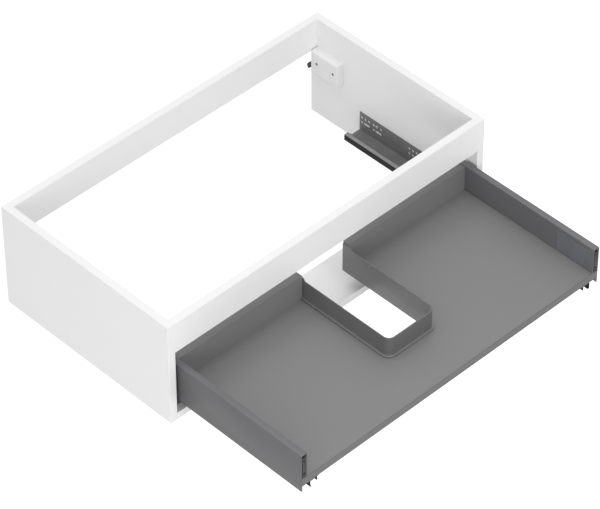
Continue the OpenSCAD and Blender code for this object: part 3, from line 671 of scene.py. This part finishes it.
# ----- Locking clips -----
# Dark moulded clips under the front corners of the floor board, each with a sprung lever
# that lets the drawer off its rail. The lever's grip is ribbed for the finger.

CLIP = moulded("clip_plastic", 0.30, gloss=0.45)
LEVER = moulded("lever_plastic", 0.22, gloss=0.42)
MOULDED_EDGE = 0.0005
RIBS, RIB_PITCH, RIB_START = 4, 0.0028, 0.0022
RIB_L, RIB_W, RIB_DEPTH, RIB_ROOT = 0.008, 0.0012, 0.0006, 0.0004

for side in SIDES:
    refined(f"{side}_clip_body", MOULDED_EDGE, CLIP)
    lever = f"{side}_clip_lever"
    refined(lever, MOULDED_EDGE, LEVER)
    low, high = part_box(lever)
    pivot_x = next(j["pos_m"][0] for j in frame["joints"] if j["child"] == lever)
    for count in range(RIBS):
        y = low.y + RIB_START + RIB_PITCH * count
        rib = block((pivot_x - RIB_L / 2, y, low.z - RIB_DEPTH),
                    (pivot_x + RIB_L / 2, y + RIB_W, low.z + RIB_ROOT), DEBURRED)
        put(f"{lever}_rib_{count}", rib, LEVER, lever)

# ----- Studio -----
# A pale floor at the height it would have under a wall-hung unit, a wide soft lamp overhead,
# smaller ones from the front, the front left and the left, and even light all round.

FLOOR_Z, FLOOR_SPAN = -0.85, 30.0
FLOOR_GREY, FLOOR_GLOW = 0.80, 0.45
SKY_LIGHT, SKY_WHITE = 0.59, 1.0


def seen(finish):
    """1 for the rays that show the background: straight, mirrored and through glass."""
    rays = [finish.node("ShaderNodeLightPath", output=name)
            for name in ("Is Camera Ray", "Is Glossy Ray", "Is Transmission Ray")]
    return rays[0].math("MAXIMUM", rays[0].math("MAXIMUM", rays[0], rays[1]), rays[2])


def studio_floor():
    finish = Finish("studio_floor")
    matt = finish.node("ShaderNodeBsdfDiffuse", {}, {0: (FLOOR_GREY, FLOOR_GREY, FLOOR_GREY, 1)})
    glow = finish.node("ShaderNodeEmission", {}, {0: (1, 1, 1, 1), 1: FLOOR_GLOW})
    both = finish.node("ShaderNodeAddShader", {}, {0: matt, 1: glow})
    mixed = finish.node("ShaderNodeMixShader", {}, {0: seen(finish), 1: matt, 2: both})
    finish.node("ShaderNodeOutputMaterial", {}, {0: mixed})
    return finish.material


ground = bmesh.new()
bmesh.ops.create_grid(ground, x_segments=1, y_segments=1, size=FLOOR_SPAN)
bmesh.ops.translate(ground, vec=(0, 0, FLOOR_Z), verts=ground.verts)
ground_mesh = bpy.data.meshes.new("studio_floor")
ground.to_mesh(ground_mesh)
ground.free()
ground_mesh.materials.append(studio_floor())
studio = bpy.data.objects.new("studio_floor", ground_mesh)
bpy.context.scene.collection.objects.link(studio)

world = Finish("studio", bpy.data.worlds)
light = world.node("ShaderNodeBackground", {}, {0: (1, 1, 1, 1), 1: SKY_LIGHT})
white = world.node("ShaderNodeBackground", {}, {0: (1, 1, 1, 1), 1: SKY_WHITE})
mixed = world.node("ShaderNodeMixShader", {}, {0: seen(world), 1: light, 2: white})
world.node("ShaderNodeOutputWorld", {}, {0: mixed})
bpy.context.scene.world = world.material


def lamp(name, place, aim, size, power):
    data = bpy.data.lights.new(name, "AREA")
    data.shape, data.size, data.energy = "DISK", size, power
    made = bpy.data.objects.new(name, data)
    made.location = place
    made.rotation_mode = "QUATERNION"
    made.rotation_quaternion = (Vector(aim) - Vector(place)).to_track_quat("-Z", "Y")
    bpy.context.scene.collection.objects.link(made)


CENTRE = (0.0, -0.35, -0.08)
lamp("overhead", (0.0, -0.3, 5.0), CENTRE, 5.0, 99.0)
lamp("front", (-0.6, -4.0, 2.2), CENTRE, 2.4, 40.0)
lamp("front_left", (-2.6, -3.0, 0.5), CENTRE, 2.0, 33.0)
lamp("left", (-3.2, -0.6, 1.6), CENTRE, 2.4, 4.0)

# ----- Camera -----
# A long lens from the front left, looking down at the open drawer. The turn and the height are
# angles about the unit, the place is in metres.

AZIMUTH, ELEVATION, ROLL = radians(-44.209), radians(42.728), radians(-0.125)
LENS, SENSOR, FARTHEST = 209.4, 36.0, 100.0
CAMERA_PLACE = (-3.277, -3.731, 4.239)
back = Vector((sin(AZIMUTH) * cos(ELEVATION), -cos(AZIMUTH) * cos(ELEVATION), sin(ELEVATION)))
across = Vector((cos(AZIMUTH), sin(AZIMUTH), 0.0))
upward = back.cross(across)
right = across * cos(ROLL) + upward * sin(ROLL)
up = upward * cos(ROLL) - across * sin(ROLL)
camera_data = bpy.data.cameras.new("camera")
camera_data.lens, camera_data.sensor_width = LENS, SENSOR
camera_data.clip_end = FARTHEST
camera = bpy.data.objects.new("camera", camera_data)
pose = Matrix((right, up, back)).transposed().to_4x4()
pose.translation = CAMERA_PLACE
camera.matrix_world = pose
bpy.context.scene.collection.objects.link(camera)
bpy.context.scene.camera = camera
bpy.context.scene.view_settings.view_transform = "Standard"
